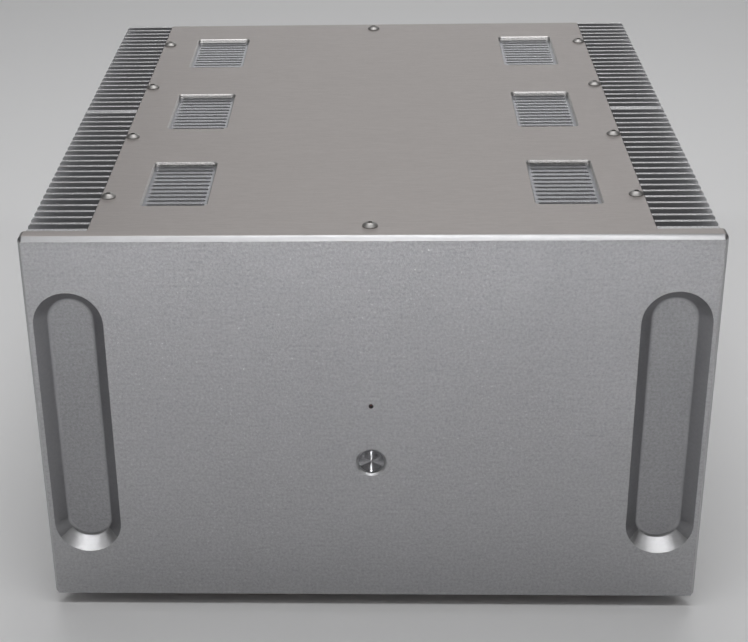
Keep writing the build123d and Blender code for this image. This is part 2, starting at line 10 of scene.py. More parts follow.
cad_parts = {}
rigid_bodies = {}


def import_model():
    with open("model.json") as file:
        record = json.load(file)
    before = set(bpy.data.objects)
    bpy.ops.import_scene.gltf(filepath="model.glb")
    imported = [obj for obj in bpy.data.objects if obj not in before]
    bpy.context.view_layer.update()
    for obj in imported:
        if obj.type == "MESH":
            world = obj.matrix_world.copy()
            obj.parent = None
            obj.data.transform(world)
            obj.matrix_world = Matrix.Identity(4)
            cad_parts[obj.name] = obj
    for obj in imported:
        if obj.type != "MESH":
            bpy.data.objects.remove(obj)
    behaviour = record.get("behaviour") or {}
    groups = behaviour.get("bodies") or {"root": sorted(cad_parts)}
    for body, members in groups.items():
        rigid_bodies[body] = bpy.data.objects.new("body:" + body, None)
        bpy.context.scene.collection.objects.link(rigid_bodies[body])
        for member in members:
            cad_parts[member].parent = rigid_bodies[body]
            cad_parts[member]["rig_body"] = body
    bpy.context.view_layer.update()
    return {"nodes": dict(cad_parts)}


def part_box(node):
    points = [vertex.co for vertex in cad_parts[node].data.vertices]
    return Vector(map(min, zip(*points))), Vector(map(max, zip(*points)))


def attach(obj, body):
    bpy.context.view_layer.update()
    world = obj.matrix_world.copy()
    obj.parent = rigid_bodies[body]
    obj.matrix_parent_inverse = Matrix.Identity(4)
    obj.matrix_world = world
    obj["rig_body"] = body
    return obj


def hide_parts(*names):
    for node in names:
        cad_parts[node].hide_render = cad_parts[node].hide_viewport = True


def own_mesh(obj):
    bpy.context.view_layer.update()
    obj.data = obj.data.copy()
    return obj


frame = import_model()

bl_info = {
    "name": "Amplifier Chassis Studio",
    "version": (1, 0, 0),
    "blender": (4, 5, 0),
    "location": "View3D > Sidebar > Chassis",
    "description": "Finishes an amplifier chassis and sets it in a plain studio",
    "category": "Object",
}

# The CAD nodes, by what they have in common
SIDES = ("left", "right")
FEET = ("front_left", "front_right", "rear_left", "rear_right")
HEATSINKS = tuple("heatsink_" + side + "_" + end for side in SIDES for end in ("front", "rear"))
BARS = ("front_top_bar", "front_bottom_bar", "rear_top_bar", "rear_bottom_bar")
JOINING_PLATES = tuple("joining_plate_" + side for side in SIDES)
COVERS = ("top_cover", "bottom_plate", "rear_panel")
SCREWS = (
    "top_cover_screws",
    "bottom_plate_screws",
    "front_plate_screws",
    "bar_end_screws",
    "joining_screws",
    "rear_panel_screws",
    "foot_screws",
    "housing_screws",
)

# How facets are joined and edges broken
MERGE_DISTANCE = 1e-6
FLAT_ANGLE = math.radians(0.5)
SHARP_ANGLE = math.radians(30)
EDGE_SEGMENTS = 2
FACE_WEIGHT = 100
THIN_EDGE = 0.6
BUTTON_EDGE = 0.5

# How squarely a face looks along an axis, as a part of its normal
FACE_ON = 0.97
LEVEL = 0.9
SIDE_ON = 0.1
FLAT_TOLERANCE = 0.0002

# Where the front plate's surfaces lie, and its material slots in order
GRIP_SHALLOW = 0.006
PLATE_RIM = 0.005
MOUTH_REACH = 0.02
# Grip walls whose normal leans up less than this take the darker grip colour, as painted shade; the
# foot, which leans up more, keeps the cut colour
FOOT_SLOPE = 0.4
PLATE_FACE, MACHINED_CUT, SHADED_GRIP_FLOOR, PLATE_EDGE, PLATE_BEVEL, SHADED_GRIP_WALL = range(6)

# Where the top cover's pockets lie, and its material slots in order
POCKET_DEPTH = 0.003
POCKET_INNER = 0.100
POCKET_OUTER = 0.150
COVER_FACE, POCKET_FLOOR, POCKET_WALL, SLOT_WALL = range(4)

# The heatsinks' material slots in order
DRAWN_SIDE, SAWN_END = range(2)

# The photograph's frame in pixels, and the camera's sensor in millimetres
PHOTO_WIDTH = 748
PHOTO_HEIGHT = 642
SENSOR_WIDTH = 36.0

# Where the lights hang and point, and their width and depth
FRONT_TARGET = (0.0, -0.23, 0.1)
FRONT_LIGHT_PLACE = (0.0, -1.25, 2.1)
FRONT_LIGHT_SIZE = (3.8, 0.15)
FLOOR_LIGHT_PLACE = (0.0, -1.5, 1.0)
FLOOR_LIGHT_TARGET = (0.0, -1.5, 0.0)
FLOOR_LIGHT_SIZE = (1.4, 0.4)
FLOOR_LIGHT_SPREAD = math.radians(69)
SIDE_LIGHT_PLACES = {"left": (-1.9, -0.9, 1.35), "right": (1.9, -0.9, 1.35)}
SIDE_LIGHT_SIZE = (0.15, 1.4)
SMALL_LAMP_PLACE = (0.0, -1.4, 1.55)
SMALL_LAMP_SIZE = (0.1, 0.1)
REAR_LIGHT_PLACE = (0.3, 2.9, 1.1)
REAR_LIGHT_TARGET = (0.0, 0.0, 0.27)
REAR_LIGHT_SIZE = (2.4, 0.5)
WHITE = (1.0, 1.0, 1.0, 1.0)

# The floor's sheet, which curves up behind the chassis
FLOOR_HALF_WIDTH = 6.0
FLOOR_FRONT = -6.0
CURVE_START = 2.2
CURVE_RADIUS = 1.2
CURVE_STEPS = 16
BACKDROP_HEIGHT = 3.5

# The effects' fixed values
GREY = (0.5, 0.5, 0.5, 1.0)
NOISE_MIDDLE = 0.5
CLOUD_SCALE = 22.0
STREAK_STRETCH = (0.12, 1.0, 1.0)
COVE_GRAIN_SCALE = 900.0
BUMP_DISTANCE = 0.0002

# A node group's kinds of socket
COLOUR = "NodeSocketColor"
NUMBER = "NodeSocketFloat"
VECTOR = "NodeSocketVector"


# Steps that the effects are made of


def socket(tree, name, kind, default=None, out=False):
    """Adds one named input or output to a node group."""
    side = "OUTPUT" if out else "INPUT"
    item = tree.interface.new_socket(name=name, in_out=side, socket_type=kind)
    if default is not None:
        item.default_value = default


def add_node(tree, kind, **settings):
    """Adds a shader node and sets its properties."""
    node = tree.nodes.new(kind)
    for name, value in settings.items():
        setattr(node, name, value)
    return node


def new_effect(name, inputs):
    """An empty node group with these inputs and the three outputs of a surface."""
    tree = bpy.data.node_groups.new(name, "ShaderNodeTree")
    for label, kind, default in inputs:
        socket(tree, label, kind, default)
    for label, kind in (("Colour", COLOUR), ("Roughness", NUMBER), ("Normal", VECTOR)):
        socket(tree, label, kind, out=True)
    return tree, add_node(tree, "NodeGroupInput"), add_node(tree, "NodeGroupOutput")


def feed(tree, value, target):
    """Gives an input another node's output or a plain value."""
    if isinstance(value, bpy.types.NodeSocket):
        tree.links.new(value, target)
    else:
        target.default_value = value


def calculate(tree, operation, *values, clamp=False):
    """Adds a Math node and gives its result."""
    node = add_node(tree, "ShaderNodeMath", operation=operation, use_clamp=clamp)
    for value, target in zip(values, node.inputs):
        feed(tree, value, target)
    return node.outputs[0]


def combine(tree, operation, *values):
    """Adds a Vector Math node and gives its vector."""
    node = add_node(tree, "ShaderNodeVectorMath", operation=operation)
    for value, target in zip(values, node.inputs):
        feed(tree, value, target)
    return node.outputs["Vector"]


def scaled(tree, vector, factor):
    """Adds a node that makes a vector or a colour longer or shorter."""
    node = add_node(tree, "ShaderNodeVectorMath", operation="SCALE")
    feed(tree, vector, node.inputs[0])
    feed(tree, factor, node.inputs["Scale"])
    return node.outputs["Vector"]


def object_place(tree):
    """The place on the piece, in Object coordinates."""
    return add_node(tree, "ShaderNodeTexCoord").outputs["Object"]


def noise(tree, place, scale, detail=2.0, roughness=0.5):
    """Adds a Noise texture, whose values lie round its middle."""
    node = add_node(tree, "ShaderNodeTexNoise")
    feed(tree, place, node.inputs["Vector"])
    feed(tree, scale, node.inputs["Scale"])
    feed(tree, detail, node.inputs["Detail"])
    feed(tree, roughness, node.inputs["Roughness"])
    return node.outputs["Fac"]


def swing(tree, value, contrast):
    """Makes noise swing round zero, as far as the contrast says."""
    centred = calculate(tree, "SUBTRACT", value, NOISE_MIDDLE)
    return calculate(tree, "MULTIPLY", centred, contrast)


def vary(tree, given, result, change):
    """Brightens the colour and lowers the roughness by a change that swings round zero."""
    factor = calculate(tree, "ADD", change, 1.0)
    feed(tree, scaled(tree, given.outputs["Colour"], factor), result.inputs["Colour"])
    rough = calculate(tree, "SUBTRACT", given.outputs["Roughness"], change)
    feed(tree, rough, result.inputs["Roughness"])


def dent(tree, given, result, height):
    """Presses a pattern into the surface, as deep as the group's Depth says."""
    bump = add_node(tree, "ShaderNodeBump")
    feed(tree, BUMP_DISTANCE, bump.inputs["Distance"])
    feed(tree, given.outputs["Depth"], bump.inputs["Strength"])
    feed(tree, height, bump.inputs["Height"])
    feed(tree, bump.outputs["Normal"], result.inputs["Normal"])


def tilt_normal(tree, result, lean):
    """Leans the surface's own normal by a vector."""
    surface = add_node(tree, "ShaderNodeNewGeometry")
    leaning = combine(tree, "ADD", surface.outputs["Normal"], lean)
    feed(tree, combine(tree, "NORMALIZE", leaning), result.inputs["Normal"])


# Shared effects


def grained_group():
    """Blasted metal or moulded plastic: a fine even grain in brightness, roughness and surface."""
    name = "blasted surface"
    if name in bpy.data.node_groups:
        return bpy.data.node_groups[name]
    inputs = (
        ("Colour", COLOUR, GREY),
        ("Grain Size", NUMBER, 0.0008),
        ("Grain Contrast", NUMBER, 0.1),
        ("Cloud Contrast", NUMBER, 0.03),
        ("Streak Contrast", NUMBER, 0.12),
        ("Roughness", NUMBER, 0.42),
        ("Depth", NUMBER, 0.1),
    )
    tree, given, result = new_effect(name, inputs)
    place = object_place(tree)
    scale = calculate(tree, "DIVIDE", 1.0, given.outputs["Grain Size"])
    grain = noise(tree, place, scale, detail=4.0, roughness=0.7)
    cloud = noise(tree, place, CLOUD_SCALE, detail=3.0)
    streak = noise(tree, combine(tree, "MULTIPLY", place, STREAK_STRETCH), scale)
    grain_part = swing(tree, grain, given.outputs["Grain Contrast"])
    streak_part = swing(tree, streak, given.outputs["Streak Contrast"])
    cloud_part = swing(tree, cloud, given.outputs["Cloud Contrast"])
    fine = calculate(tree, "ADD", grain_part, streak_part)
    vary(tree, given, result, calculate(tree, "ADD", fine, cloud_part))
    dent(tree, given, result, grain)
    return tree


def lined_group():
    """Straight tool marks, drawn out along the axes whose stretch is small."""
    name = "tool lines"
    if name in bpy.data.node_groups:
        return bpy.data.node_groups[name]
    inputs = (
        ("Colour", COLOUR, GREY),
        ("Stretch", VECTOR, (1.0, 1.0, 1.0)),
        ("Line Spacing", NUMBER, 0.0005),
        ("Contrast", NUMBER, 0.3),
        ("Roughness", NUMBER, 0.35),
        ("Depth", NUMBER, 0.3),
    )
    tree, given, result = new_effect(name, inputs)
    place = combine(tree, "MULTIPLY", object_place(tree), given.outputs["Stretch"])
    scale = calculate(tree, "DIVIDE", 1.0, given.outputs["Line Spacing"])
    streak = noise(tree, place, scale, detail=3.0, roughness=0.65)
    vary(tree, given, result, swing(tree, streak, given.outputs["Contrast"]))
    dent(tree, given, result, streak)
    return tree


def turned_group():
    """Grooves left by a lathe, round an axis that runs through the centre."""
    name = "turned rings"
    if name in bpy.data.node_groups:
        return bpy.data.node_groups[name]
    inputs = (
        ("Colour", COLOUR, GREY),
        ("Centre", VECTOR, (0.0, 0.0, 0.0)),
        ("Across", VECTOR, (1.0, 0.0, 1.0)),
        ("Ring Spacing", NUMBER, 0.0004),
        ("Contrast", NUMBER, 0.2),
        ("Roughness", NUMBER, 0.3),
        ("Depth", NUMBER, 0.3),
    )
    tree, given, result = new_effect(name, inputs)
    from_centre = combine(tree, "SUBTRACT", object_place(tree), given.outputs["Centre"])
    across = combine(tree, "MULTIPLY", from_centre, given.outputs["Across"])
    radius = add_node(tree, "ShaderNodeVectorMath", operation="LENGTH")
    feed(tree, across, radius.inputs[0])
    rings = calculate(tree, "DIVIDE", radius.outputs["Value"], given.outputs["Ring Spacing"])
    uneven = add_node(tree, "ShaderNodeTexNoise", noise_dimensions="1D")
    feed(tree, rings, uneven.inputs["W"])
    feed(tree, 1.0, uneven.inputs["Scale"])
    feed(tree, 2.0, uneven.inputs["Detail"])
    vary(tree, given, result, swing(tree, uneven.outputs["Fac"], given.outputs["Contrast"]))
    # Each groove has two flat sides, one that leans out and one that leans in
    wave = calculate(tree, "SINE", calculate(tree, "MULTIPLY", rings, 2 * math.pi))
    slope = calculate(tree, "MULTIPLY", calculate(tree, "SIGN", wave), given.outputs["Depth"])
    tilt_normal(tree, result, scaled(tree, combine(tree, "NORMALIZE", across), slope))
    return tree


def coved_group():
    """The hollow that a round-nosed cutter leaves where a wall meets a floor."""
    name = "cutter cove"
    if name in bpy.data.node_groups:
        return bpy.data.node_groups[name]
    inputs = (
        ("Colour", COLOUR, GREY),
        ("Roughness", NUMBER, 0.4),
        ("Floor Height", NUMBER, 0.0),
        ("Wall Height", NUMBER, 0.003),
        ("Lean", NUMBER, 2.0),
    )
    tree, given, result = new_effect(name, inputs)
    place = object_place(tree)
    split = add_node(tree, "ShaderNodeSeparateXYZ")
    feed(tree, place, split.inputs[0])
    above = calculate(tree, "SUBTRACT", split.outputs["Z"], given.outputs["Floor Height"])
    share = calculate(tree, "DIVIDE", above, given.outputs["Wall Height"], clamp=True)
    below = calculate(tree, "SUBTRACT", 1.0, share)
    upwards = add_node(tree, "ShaderNodeCombineXYZ")
    feed(tree, calculate(tree, "MULTIPLY", below, given.outputs["Lean"]), upwards.inputs["Z"])
    tilt_normal(tree, result, upwards.outputs[0])
    grain = noise(tree, place, COVE_GRAIN_SCALE)
    factor = calculate(tree, "ADD", grain, 1.0 - NOISE_MIDDLE)
    feed(tree, scaled(tree, given.outputs["Colour"], factor), result.inputs["Colour"])
    rough = calculate(tree, "MULTIPLY", given.outputs["Roughness"], factor)
    feed(tree, rough, result.inputs["Roughness"])
    return tree


# Materials


def rgba(colour):
    """A colour with full alpha."""
    return (colour[0], colour[1], colour[2], 1.0)


def effect_material(name, group, values, metallic=1.0, coat=0.0):
    """A Principled material that takes its colour, roughness and normal from one effect."""
    material = bpy.data.materials.new(name)
    material.use_nodes = True
    tree = material.node_tree
    shader = tree.nodes["Principled BSDF"]
    shader.inputs["Metallic"].default_value = metallic
    shader.inputs["Coat Weight"].default_value = coat
    effect = add_node(tree, "ShaderNodeGroup", node_tree=group)
    for key, value in values.items():
        effect.inputs[key].default_value = value
    tree.links.new(effect.outputs["Colour"], shader.inputs["Base Color"])
    tree.links.new(effect.outputs["Roughness"], shader.inputs["Roughness"])
    tree.links.new(effect.outputs["Normal"], shader.inputs["Normal"])
    material.diffuse_color = rgba(values["Colour"])
    return material


def grained(name, colour, roughness, grain, contrast, depth, metallic=1.0, coat=0.0):
    """Blasted and anodised aluminium, or with no metallic part, plastic or rubber."""
    values = {
        "Colour": rgba(colour),
        "Roughness": roughness,
        "Grain Size": grain,
        "Grain Contrast": contrast,
        "Depth": depth,
    }
    return effect_material(name, grained_group(), values, metallic=metallic, coat=coat)


def lined_metal(name, colour, roughness, spacing, stretch, contrast, depth):
    """Extruded, sawn or milled metal with straight marks."""
    values = {
        "Colour": rgba(colour),
        "Roughness": roughness,
        "Line Spacing": spacing,
        "Stretch": stretch,
        "Contrast": contrast,
        "Depth": depth,
    }
    return effect_material(name, lined_group(), values)


def turned_metal(name, colour, roughness, node_name, across, spacing, contrast, depth):
    """Metal turned on a lathe, with fine grooves round the middle of a node."""
    low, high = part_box(node_name)
    values = {
        "Colour": rgba(colour),
        "Roughness": roughness,
        "Centre": (low + high) / 2,
        "Across": across,
        "Ring Spacing": spacing,
        "Contrast": contrast,
        "Depth": depth,
    }
    return effect_material(name, turned_group(), values)


def coved_metal(name, colour, roughness, floor_height, wall_height):
    """Milled walls that run into their floor in a small hollow."""
    values = {
        "Colour": rgba(colour),
        "Roughness": roughness,
        "Floor Height": floor_height,
        "Wall Height": wall_height,
    }
    return effect_material(name, coved_group(), values)


# Pieces


def assign(piece, *materials):
    """Gives a piece its materials, in the order of its slots."""
    piece.data.materials.clear()
    for material in materials:
        piece.data.materials.append(material)


def copied(node_name):
    """A copy of a CAD node with its facets joined, which stands for the node."""
    node = frame["nodes"][node_name]
    shape = bmesh.new()
    shape.from_mesh(node.data)
    bmesh.ops.remove_doubles(shape, verts=shape.verts, dist=MERGE_DISTANCE)
    bmesh.ops.dissolve_limit(
        shape,
        angle_limit=FLAT_ANGLE,
        use_dissolve_boundaries=False,
        verts=shape.verts,
        edges=shape.edges,
    )
    mesh = bpy.data.meshes.new(node_name + "_finished")
    shape.to_mesh(mesh)
    shape.free()
    mesh.shade_smooth()
    piece = bpy.data.objects.new(node_name + "_finished", mesh)
    bpy.context.scene.collection.objects.link(piece)
    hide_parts(node_name)
    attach(piece, node["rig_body"])
    return piece


def softened(node_name, width):
    """A copy of a CAD node with its edges broken by a small bevel."""
    piece = copied(node_name)
    bevel = piece.modifiers.new("broken edges", "BEVEL")
    bevel.width = width
    bevel.segments = EDGE_SEGMENTS
    bevel.limit_method = "ANGLE"
    bevel.angle_limit = SHARP_ANGLE
    bevel.use_clamp_overlap = True
    flatter = piece.modifiers.new("flat faces", "WEIGHTED_NORMAL")
    flatter.mode = "FACE_AREA"
    flatter.weight = FACE_WEIGHT
    return piece


class ChassisFinish(bpy.types.PropertyGroup):
    """Colours and surface sizes of the metal."""

    front_colour: bpy.props.FloatVectorProperty(
        name="Front Colour",
        description="Reflection colour of the front plate",
        subtype="COLOR",
        size=3,
        default=(0.412, 0.412, 0.422),
        min=0.0,
        max=1.0,
    )
    cut_colour: bpy.props.FloatVectorProperty(
        name="Cut Colour",
        description="Reflection colour of the foot of each grip and of the button's mouth",
        subtype="COLOR",
        size=3,
        default=(0.455, 0.455, 0.465),
        min=0.0,
        max=1.0,
    )
    bevel_colour: bpy.props.FloatVectorProperty(
        name="Bevel Colour",
        description="Reflection colour of the bevel round the front plate",
        subtype="COLOR",
        size=3,
        default=(0.405, 0.405, 0.415),
        min=0.0,
        max=1.0,
    )
    # Darker than the front and cut colours: painted shade, for the grips' recessed floors and for
    # their side walls
    grip_shade_colour: bpy.props.FloatVectorProperty(
        name="Grip Shade Colour",
        description="Reflection colour of the grips' floors and walls",
        subtype="COLOR",
        size=3,
        default=(0.32, 0.32, 0.33),
        min=0.0,
        max=1.0,
    )
    cover_colour: bpy.props.FloatVectorProperty(
        name="Cover Colour",
        description="Reflection colour of the covers, the rear panel and the front plate's edges",
        subtype="COLOR",
        size=3,
        default=(0.5, 0.468, 0.455),
        min=0.0,
        max=1.0,
    )
    pocket_colour: bpy.props.FloatVectorProperty(
        name="Pocket Colour",
        description="Reflection colour of the milled pocket floors",
        subtype="COLOR",
        size=3,
        default=(0.47, 0.475, 0.5),
        min=0.0,
        max=1.0,
    )
    wall_colour: bpy.props.FloatVectorProperty(
        name="Wall Colour",
        description="Reflection colour of the milled pocket walls",
        subtype="COLOR",
        size=3,
        default=(0.5, 0.49, 0.485),
        min=0.0,
        max=1.0,
    )
    slot_colour: bpy.props.FloatVectorProperty(
        name="Slot Colour",
        description="Reflection colour of the slots' cut walls",
        subtype="COLOR",
        size=3,
        default=(0.88, 0.88, 0.9),
        min=0.0,
        max=1.0,
    )
    heatsink_colour: bpy.props.FloatVectorProperty(
        name="Heatsink Colour",
        description="Reflection colour of the heatsinks' drawn sides",
        subtype="COLOR",
        size=3,
        default=(0.56, 0.56, 0.575),
        min=0.0,
        max=1.0,
    )
    steel_colour: bpy.props.FloatVectorProperty(
        name="Steel Colour",
        description="Reflection colour of the screws",
        subtype="COLOR",
        size=3,
        default=(0.38, 0.37, 0.36),
        min=0.0,
        max=1.0,
    )
    grain_size: bpy.props.FloatProperty(
        name="Grain Size",
        description="Distance between the dimples of the blasted surface",
        subtype="DISTANCE",
        default=0.0018,
        min=0.0001,
        max=0.01,
    )
    edge_break: bpy.props.FloatProperty(
        name="Edge Break",
        description="Width of the small bevel on the milled edges",
        subtype="DISTANCE",
        default=0.00025,
        min=0.00005,
        max=0.001,
    )


class StudioSettings(bpy.types.PropertyGroup):
    """The camera and the lights."""

    camera_place: bpy.props.FloatVectorProperty(
        name="Camera Place",
        description="Where the camera stands",
        subtype="TRANSLATION",
        size=3,
        default=(0.0090, -1.1085, 0.6582),
    )
    camera_yaw: bpy.props.FloatProperty(
        name="Camera Yaw",
        description="How far the camera turns to the right",
        subtype="ANGLE",
        default=math.radians(-2.595),
    )
    camera_pitch: bpy.props.FloatProperty(
        name="Camera Pitch",
        description="How far the camera looks down",
        subtype="ANGLE",
        default=math.radians(26.033),
    )
    camera_roll: bpy.props.FloatProperty(
        name="Camera Roll",
        description="How far the camera leans to the right",
        subtype="ANGLE",
        default=math.radians(-1.271),
    )
    focal_pixels: bpy.props.FloatProperty(
        name="Focal Length",
        description="Focal length in pixels of the picture",
        default=1594.6,
        min=100.0,
    )
    centre_pixel: bpy.props.FloatVectorProperty(
        name="Centre Pixel",
        description="Where the lens's axis meets the picture",
        size=2,
        default=(320.0, 306.7),
    )
    floor_colour: bpy.props.FloatVectorProperty(
        name="Floor Colour",
        description="Colour of the floor and backdrop",
        subtype="COLOR",
        size=3,
        default=(0.88, 0.88, 0.885),
        min=0.0,
        max=1.0,
    )
    overhead_place: bpy.props.FloatVectorProperty(
        name="Overhead Place",
        description="Where the soft light above hangs",
        subtype="TRANSLATION",
        size=3,
        default=(0.05, 0.35, 2.0),
    )
    overhead_size: bpy.props.FloatVectorProperty(
        name="Overhead Size",
        description="Width and depth of the soft light above",
        size=2,
        default=(1.3, 0.8),
    )
    overhead_power: bpy.props.FloatProperty(
        name="Overhead Power",
        description="Power of the soft light above",
        subtype="POWER",
        default=14.4,
        min=0.0,
    )
    front_power: bpy.props.FloatProperty(
        name="Front Power",
        description="Power of the high narrow light in front",
        subtype="POWER",
        default=18.5,
        min=0.0,
    )
    floor_power: bpy.props.FloatProperty(
        name="Floor Power",
        description="Power of the soft light over the floor in front",
        subtype="POWER",
        default=14.0,
        min=0.0,
    )
    side_power: bpy.props.FloatProperty(
        name="Side Power",
        description="Power of each soft light beside the front",
        subtype="POWER",
        default=2.6,
        min=0.0,
    )
    lamp_power: bpy.props.FloatProperty(
        name="Lamp Power",
        description="Power of the small lamp that draws the button's streak",
        subtype="POWER",
        default=1.2,
        min=0.0,
    )
    rear_power: bpy.props.FloatProperty(
        name="Rear Power",
        description="Power of the low soft light behind",
        subtype="POWER",
        default=6.5,
        min=0.0,
    )
    world_level: bpy.props.FloatProperty(
        name="World Level",
        description="Strength of the even light all round",
        default=0.07,
        min=0.0,
    )


def finish():
    """The finish settings of the scene."""
    return bpy.context.scene.chassis_finish


def cover_metal(name, settings):
    """The finer blasting of the covers, which the front plate's edges share."""
    return grained(
        name,
        settings.cover_colour,
        roughness=0.5,
        grain=settings.grain_size * 0.7,
        contrast=0.08,
        depth=0.4,
    )


def plate_surface(polygon, low, high):
    """The material slot of one face of the front plate."""
    middle, normal = polygon.center, polygon.normal
    rim = min(middle.x - low.x, high.x - middle.x, middle.z - low.z, high.z - middle.z)
    if -FACE_ON < normal.y < -SIDE_ON:
        if rim < PLATE_RIM:
            return PLATE_BEVEL
        in_grip = abs(middle.x) > MOUTH_REACH
        # Grip walls that lean up less than the foot take a darker colour, which paints their shade
        return SHADED_GRIP_WALL if in_grip and normal.z < FOOT_SLOPE else MACHINED_CUT
    # The grips' recessed floors get a slot whose darker colour is painted shade
    if normal.y < -FACE_ON and low.y + GRIP_SHALLOW < middle.y < high.y:
        return SHADED_GRIP_FLOOR
    to_edge = min(high.z - middle.z, middle.z - low.z)
    if abs(normal.y) < SIDE_ON and to_edge < FLAT_TOLERANCE:
        return PLATE_EDGE
    return PLATE_FACE


def cover_surface(polygon, floor):
    """The material slot of one face of the top cover."""
    middle, normal = polygon.center, polygon.normal
    if normal.z > LEVEL and abs(middle.z - floor) < FLAT_TOLERANCE:
        return POCKET_FLOOR
    if POCKET_INNER < abs(middle.x) < POCKET_OUTER and abs(normal.z) < LEVEL:
        return POCKET_WALL if middle.z > floor else SLOT_WALL
    return COVER_FACE


# Operators


class CHASSIS_OT_front_plate(bpy.types.Operator):
    """Finish the milled front plate"""

    bl_idname = "chassis.front_plate"
    bl_label = "Front Plate"

    def execute(self, context):
        settings = finish()
        grain = settings.grain_size
        face = grained(
            "front aluminium",
            settings.front_colour,
            roughness=0.4,
            grain=grain,
            contrast=0.6,
            depth=1.2,
        )
        cut = grained(
            "machined cuts",
            settings.cut_colour,
            roughness=0.34,
            grain=grain,
            contrast=0.1,
            depth=0.2,
        )
        # The grips' floors and side walls keep the front's and the cuts' finishes in a darker
        # colour, which paints the shade of the recesses
        shaded_grip_floor = grained(
            "grip floors in painted shade",
            settings.grip_shade_colour,
            roughness=0.42,
            grain=grain,
            contrast=0.6,
            depth=1.0,
        )
        edge = cover_metal("plate edges", settings)
        bevel = grained(
            "plate bevel",
            settings.bevel_colour,
            roughness=0.4,
            grain=grain,
            contrast=0.1,
            depth=0.2,
        )
        # The grips' side walls: the cuts' finish in the darker grip colour, as painted shade
        wall = grained(
            "grip walls in painted shade",
            settings.grip_shade_colour,
            roughness=0.38,
            grain=grain,
            contrast=0.1,
            depth=0.2,
        )
        plate = softened("front_plate", settings.edge_break)
        assign(plate, face, cut, shaded_grip_floor, edge, bevel, wall)
        low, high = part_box("front_plate")
        for polygon in plate.data.polygons:
            polygon.material_index = plate_surface(polygon, low, high)
        return {"FINISHED"}


class CHASSIS_OT_covers(bpy.types.Operator):
    """Finish the top cover, the bottom plate and the rear panel"""

    bl_idname = "chassis.covers"
    bl_label = "Covers"

    def execute(self, context):
        settings = finish()
        metal = cover_metal("cover aluminium", settings)
        covers = {name: softened(name, settings.edge_break * THIN_EDGE) for name in COVERS}
        for cover in covers.values():
            assign(cover, metal)
        pocket = lined_metal(
            "milled pocket",
            settings.pocket_colour,
            roughness=0.42,
            spacing=0.0007,
            stretch=(1.0, 0.15, 1.0),
            contrast=0.3,
            depth=0.3,
        )
        slots = lined_metal(
            "cut slots",
            settings.slot_colour,
            roughness=0.5,
            spacing=0.0007,
            stretch=(0.15, 1.0, 1.0),
            contrast=0.3,
            depth=0.3,
        )
        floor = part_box("top_cover")[1].z - POCKET_DEPTH
        walls = coved_metal(
            "milled pocket walls",
            settings.wall_colour,
            roughness=0.4,
            floor_height=floor,
            wall_height=POCKET_DEPTH,
        )
        top = covers["top_cover"]
        assign(top, metal, pocket, walls, slots)
        for polygon in top.data.polygons:
            polygon.material_index = cover_surface(polygon, floor)
        return {"FINISHED"}


class CHASSIS_OT_heatsinks(bpy.types.Operator):
    """Finish the four heatsinks, with drawn sides and sawn ends"""

    bl_idname = "chassis.heatsinks"
    bl_label = "Heatsinks"

    def execute(self, context):
        settings = finish()
        drawn = lined_metal(
            "drawn aluminium",
            settings.heatsink_colour,
            roughness=0.5,
            spacing=0.0006,
            stretch=(1.0, 1.0, 0.02),
            contrast=0.3,
            depth=0.3,
        )
        sawn = lined_metal(
            "sawn aluminium",
            (0.7, 0.7, 0.71),
            roughness=0.42,
            spacing=0.0011,
            stretch=(1.0, 1.0, 1.0),
            contrast=1.6,
            depth=1.5,
        )
        for name in HEATSINKS:
            piece = softened(name, settings.edge_break * THIN_EDGE)
            assign(piece, drawn, sawn)
            for polygon in piece.data.polygons:
                is_end = abs(polygon.normal.z) > LEVEL
                polygon.material_index = SAWN_END if is_end else DRAWN_SIDE
        return {"FINISHED"}


class CHASSIS_OT_inner_frame(bpy.types.Operator):
    """Finish the cross bars, the joining plates and the button's housing"""

    bl_idname = "chassis.inner_frame"
    bl_label = "Inner Frame"

    def execute(self, context):
        settings = finish()
        milled = lined_metal(
            "milled aluminium",
            (0.55, 0.55, 0.56),
            roughness=0.35,
            spacing=0.0008,
            stretch=(0.05, 1.0, 1.0),
            contrast=0.2,
            depth=0.2,
        )
        for name in BARS + JOINING_PLATES:
            assign(softened(name, settings.edge_break), milled)
        turned = turned_metal(
            "turned housing",
            (0.55, 0.55, 0.56),
            roughness=0.3,
            node_name="button_housing",
            across=(1.0, 0.0, 1.0),
            spacing=0.0004,
            contrast=0.2,
            depth=0.2,
        )
        assign(softened("button_housing", settings.edge_break), turned)
        return {"FINISHED"}


class CHASSIS_OT_fasteners(bpy.types.Operator):
    """Finish the screws, the lamp's leads, the switch's tabs and the spring"""

    bl_idname = "chassis.fasteners"
    bl_label = "Fasteners"

    def execute(self, context):
        settings = finish()
        steel = lined_metal(
            "screw steel",
            settings.steel_colour,
            roughness=0.47,
            spacing=0.0005,
            stretch=(1.0, 1.0, 1.0),
            contrast=0.3,
            depth=0.2,
        )
        for name in SCREWS + ("lamp_leads",):
            assign(frame["nodes"][name], steel)
        spring = copied("button_spring")
        assign(spring, steel)
        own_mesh(spring)
        tinned = lined_metal(
            "tinned brass",
            (0.7, 0.66, 0.55),
            roughness=0.3,
            spacing=0.0005,
            stretch=(1.0, 0.1, 1.0),
            contrast=0.2,
            depth=0.1,
        )
        assign(frame["nodes"]["switch_tabs"], tinned)
        return {"FINISHED"}


class CHASSIS_OT_button(bpy.types.Operator):
    """Finish the turned power button"""

    bl_idname = "chassis.button"
    bl_label = "Power Button"

    def execute(self, context):
        metal = turned_metal(
            "button aluminium",
            (0.62, 0.62, 0.64),
            roughness=0.17,
            node_name="power_button",
            across=(1.0, 0.0, 1.0),
            spacing=0.0003,
            contrast=0.3,
            depth=0.9,
        )
        assign(softened("power_button", finish().edge_break * BUTTON_EDGE), metal)
        return {"FINISHED"}


